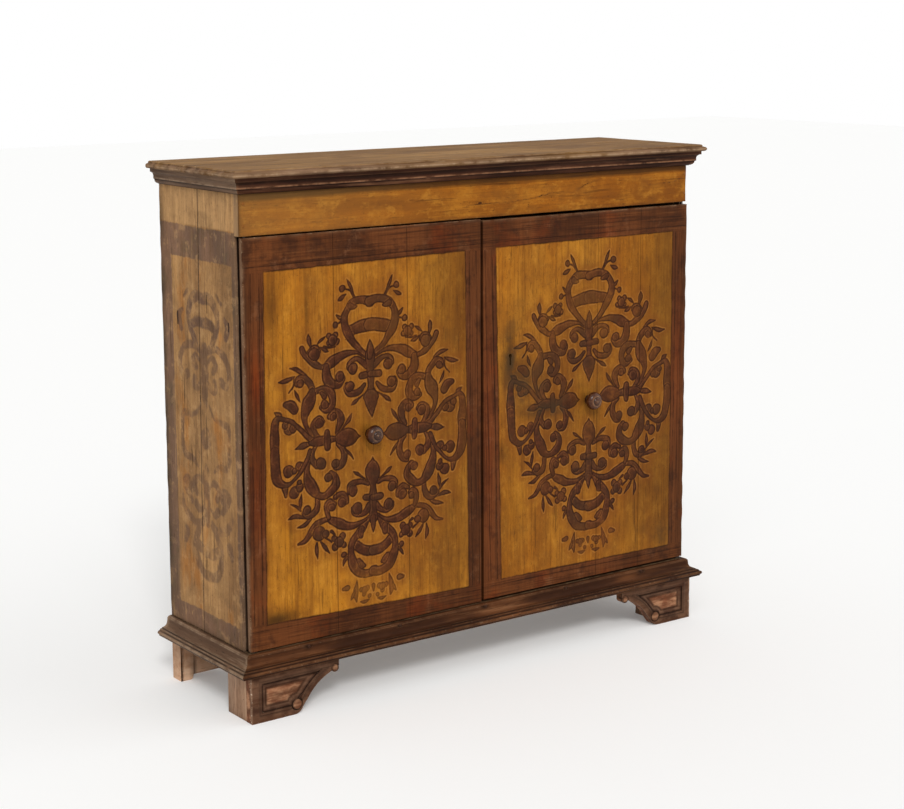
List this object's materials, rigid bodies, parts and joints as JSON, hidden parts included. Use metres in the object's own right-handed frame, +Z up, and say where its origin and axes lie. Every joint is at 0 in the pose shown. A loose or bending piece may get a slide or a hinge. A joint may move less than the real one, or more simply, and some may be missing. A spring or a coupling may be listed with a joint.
{
  "type": "vestment chest",
  "caption": "Low two-door wooden sacristy cabinet with moulded top and base, bracket feet, turned knobs, pivot-hung doors, inner shelves and traditional scroll ornament.",
  "frame": {"origin": "on the floor, at the middle of the bounding box in X and Y", "axes": "+Z up, the doors face -Y, +X runs from the left door to the right door, +Y points to the back"},
  "size_m": [1.482, 0.443, 1.329],
  "materials": {
    "door_panel": "waxed, honey ground with dark scroll ornament and dark borders",
    "frieze_panel": "waxed honey wood with a long crack and worm holes",
    "side_panel": "dry faded tan wood with a paler border and faded scrolls",
    "dark_moulding": "dark walnut stain, rubbed on the edges",
    "top_panel": "worn brown, dull",
    "foot_wood": "mid brown, rubbed",
    "inner_wood": "bare, aged",
    "knob_wood": "polished dark",
    "iron": "dark forged, dull"
  },
  "bodies": {
    "carcass": {"base_front_rail": "inner_wood", "base_rear_rail": "inner_wood", "base_left_rail": "inner_wood", "base_right_rail": "inner_wood", "base_front_moulding": "dark_moulding", "base_left_moulding": "dark_moulding", "base_right_moulding": "dark_moulding", "front_left_foot_block": "foot_wood", "front_right_foot_block": "foot_wood", "front_left_foot_bracket": "foot_wood", "front_right_foot_bracket": "foot_wood", "rear_left_foot": "foot_wood", "rear_right_foot": "foot_wood", "left_side_front_board": "side_panel", "left_side_back_board": "side_panel", "right_side_front_board": "side_panel", "right_side_back_board": "side_panel", "bottom_board": "inner_wood", "back_board_1": "inner_wood", "back_board_2": "inner_wood", "back_board_3": "inner_wood", "back_board_4": "inner_wood", "rear_top_rail": "inner_wood", "lower_shelf": "inner_wood", "upper_shelf": "inner_wood", "lower_left_cleat": "inner_wood", "lower_right_cleat": "inner_wood", "upper_left_cleat": "inner_wood", "upper_right_cleat": "inner_wood", "frieze_board": "frieze_panel", "cornice_front": "dark_moulding", "cornice_left": "dark_moulding", "cornice_right": "dark_moulding", "top_front_board": "top_panel", "top_back_board": "top_panel", "carcass_nails": "iron"},
    "left_door": {"left_door_outer_board": "door_panel", "left_door_middle_board": "door_panel", "left_door_inner_board": "door_panel", "left_door_battens": "inner_wood", "left_door_nails": "iron", "left_top_pin": "iron", "left_bottom_pin": "iron", "left_knob": "knob_wood", "lock_loop": "iron", "catch_plate": "iron"},
    "right_door": {"right_door_outer_board": "door_panel", "right_door_middle_board": "door_panel", "right_door_inner_board": "door_panel", "right_door_battens": "inner_wood", "right_door_nails": "iron", "right_top_pin": "iron", "right_bottom_pin": "iron", "right_knob": "knob_wood", "lock_case": "iron", "lock_spring": "iron"},
    "lock_bolt": {"lock_bolt": "iron"},
    "catch_bolt": {"catch_bolt": "iron"}
  },
  "joints": [
    {"name": "left_door_hinge", "type": "hinge", "parent": "carcass", "child": "left_door", "pos_m": [-0.6815, -0.167, 0.168], "axis": [0, 0, -1], "range_deg": [0, 95]},
    {"name": "right_door_hinge", "type": "hinge", "parent": "carcass", "child": "right_door", "pos_m": [0.6885, -0.167, 0.168], "axis": [0, 0, 1], "range_deg": [0, 95]},
    {"name": "lock_bolt_slide", "type": "slide", "parent": "right_door", "child": "lock_bolt", "axis": [-1, 0, 0], "range_m": [0, 0.022]},
    {"name": "catch_bolt_slide", "type": "slide", "parent": "left_door", "child": "catch_bolt", "axis": [0, 0, 1], "range_m": [0, 0.022]}
  ]
}
